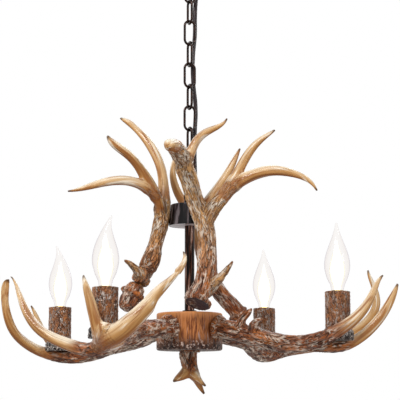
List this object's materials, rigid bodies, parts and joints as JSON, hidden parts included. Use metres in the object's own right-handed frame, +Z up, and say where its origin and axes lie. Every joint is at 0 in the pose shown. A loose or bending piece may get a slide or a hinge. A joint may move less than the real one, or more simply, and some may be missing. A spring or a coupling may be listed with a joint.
{
  "type": "antler chandelier",
  "caption": "Chandelier of branching antlers on a wooden hub, with candle sleeves and flame bulbs, hung by a chain from a round ceiling canopy.",
  "frame": {"origin": "on the ceiling plane, at the middle of the canopy's crossbar", "axes": "+Z up, so the chandelier hangs along -Z; +X to the right and +Y away from the side that the picture shows"},
  "size_m": [0.5792, 0.4728, 0.6588],
  "materials": {
    "canopy_metal": "satin black-bronze paint",
    "zinc": "zinc plated",
    "chain_metal": "dark bronze with copper rubbed edges",
    "grommet": "matte",
    "cord_sheath": "satin sheath",
    "cup_metal": "satin black",
    "plate_metal": "pale satin",
    "stem_metal": "bronze with copper streaks",
    "hub_wood": "stained, with a rough lower rim",
    "antler": "cast antler, ridged and satin",
    "sleeve_bark": "cast, with a ridged antler surface",
    "lampholder": "moulded",
    "bulb_glass": "clear",
    "bulb_cap": "threaded",
    "bulb_filament": "lit"
  },
  "bodies": {
    "ceiling": {"ceiling_canopy": "canopy_metal", "canopy_crossbar": "zinc", "canopy_screws": "zinc", "canopy_cap_nuts": "canopy_metal", "canopy_nipple": "zinc", "nipple_nut": "zinc", "canopy_collar": "canopy_metal", "canopy_loop": "chain_metal", "canopy_bushing": "grommet"},
    "link_top": {"chain_link_01": "chain_metal"},
    "chain_run": {"chain_link_02": "chain_metal", "chain_link_03": "chain_metal", "chain_link_04": "chain_metal", "chain_link_05": "chain_metal", "chain_link_06": "chain_metal", "chain_link_07": "chain_metal", "chain_link_08": "chain_metal", "chain_link_09": "chain_metal", "supply_cord": "cord_sheath"},
    "link_bottom": {"chain_link_10": "chain_metal"},
    "fixture": {"stem_loop": "chain_metal", "wiring_cup": "cup_metal", "cup_plate": "plate_metal", "cup_bushing": "grommet", "antler_screws": "zinc", "stem_tube": "stem_metal", "stem_nuts": "stem_metal", "wooden_hub": "hub_wood", "pendant_antler": "antler", "arm_front_left": "antler", "arm_front_right": "antler", "arm_back_right": "antler", "arm_back_left": "antler", "upright_left": "antler", "upright_front": "antler", "upright_back": "antler", "sleeve_front_left": "sleeve_bark", "sleeve_front_right": "sleeve_bark", "sleeve_back_right": "sleeve_bark", "sleeve_back_left": "sleeve_bark", "lampholder_front_left": "lampholder", "lampholder_front_right": "lampholder", "lampholder_back_right": "lampholder", "lampholder_back_left": "lampholder"},
    "bulb_front_left": {"bulb_glass_front_left": "bulb_glass", "bulb_cap_front_left": "bulb_cap", "bulb_filament_front_left": "bulb_filament"},
    "bulb_front_right": {"bulb_glass_front_right": "bulb_glass", "bulb_cap_front_right": "bulb_cap", "bulb_filament_front_right": "bulb_filament"},
    "bulb_back_right": {"bulb_glass_back_right": "bulb_glass", "bulb_cap_back_right": "bulb_cap", "bulb_filament_back_right": "bulb_filament"},
    "bulb_back_left": {"bulb_glass_back_left": "bulb_glass", "bulb_cap_back_left": "bulb_cap", "bulb_filament_back_left": "bulb_filament"}
  },
  "joints": [
    {"name": "swing_canopy_loop", "type": "hinge", "parent": "ceiling", "child": "link_top", "pos_m": [0, 0, -0.0545], "axis": [-0.3746, 0.9272, 0], "range_deg": [-15, 15], "deforming": ["supply_cord"]},
    {"name": "swing_first_link", "type": "hinge", "parent": "link_top", "child": "chain_run", "pos_m": [0, 0, -0.08605], "axis": [0.9272, 0.3746, 0], "range_deg": [-15, 15], "deforming": ["supply_cord"]},
    {"name": "swing_last_link", "type": "hinge", "parent": "chain_run", "child": "link_bottom", "pos_m": [0, 0, -0.34205], "axis": [0.9272, 0.3746, 0], "range_deg": [-12, 12], "deforming": ["supply_cord"]},
    {"name": "swing_stem_loop", "type": "hinge", "parent": "link_bottom", "child": "fixture", "pos_m": [0, 0, -0.37405], "axis": [-0.3746, 0.9272, 0], "range_deg": [-12, 12], "deforming": ["supply_cord"]},
    {"name": "bulb_turn_front_left", "type": "hinge", "parent": "fixture", "child": "bulb_front_left", "pos_m": [-0.10704, -0.20131, -0.55], "axis": [0, 0, 1], "range_deg": [0, 1260]},
    {"name": "bulb_turn_front_right", "type": "hinge", "parent": "fixture", "child": "bulb_front_right", "pos_m": [0.20131, -0.10704, -0.55], "axis": [0, 0, 1], "range_deg": [0, 1260]},
    {"name": "bulb_turn_back_right", "type": "hinge", "parent": "fixture", "child": "bulb_back_right", "pos_m": [0.11572, 0.19645, -0.55], "axis": [0, 0, 1], "range_deg": [0, 1260]},
    {"name": "bulb_turn_back_left", "type": "hinge", "parent": "fixture", "child": "bulb_back_left", "pos_m": [-0.19645, 0.11572, -0.55], "axis": [0, 0, 1], "range_deg": [0, 1260]}
  ]
}
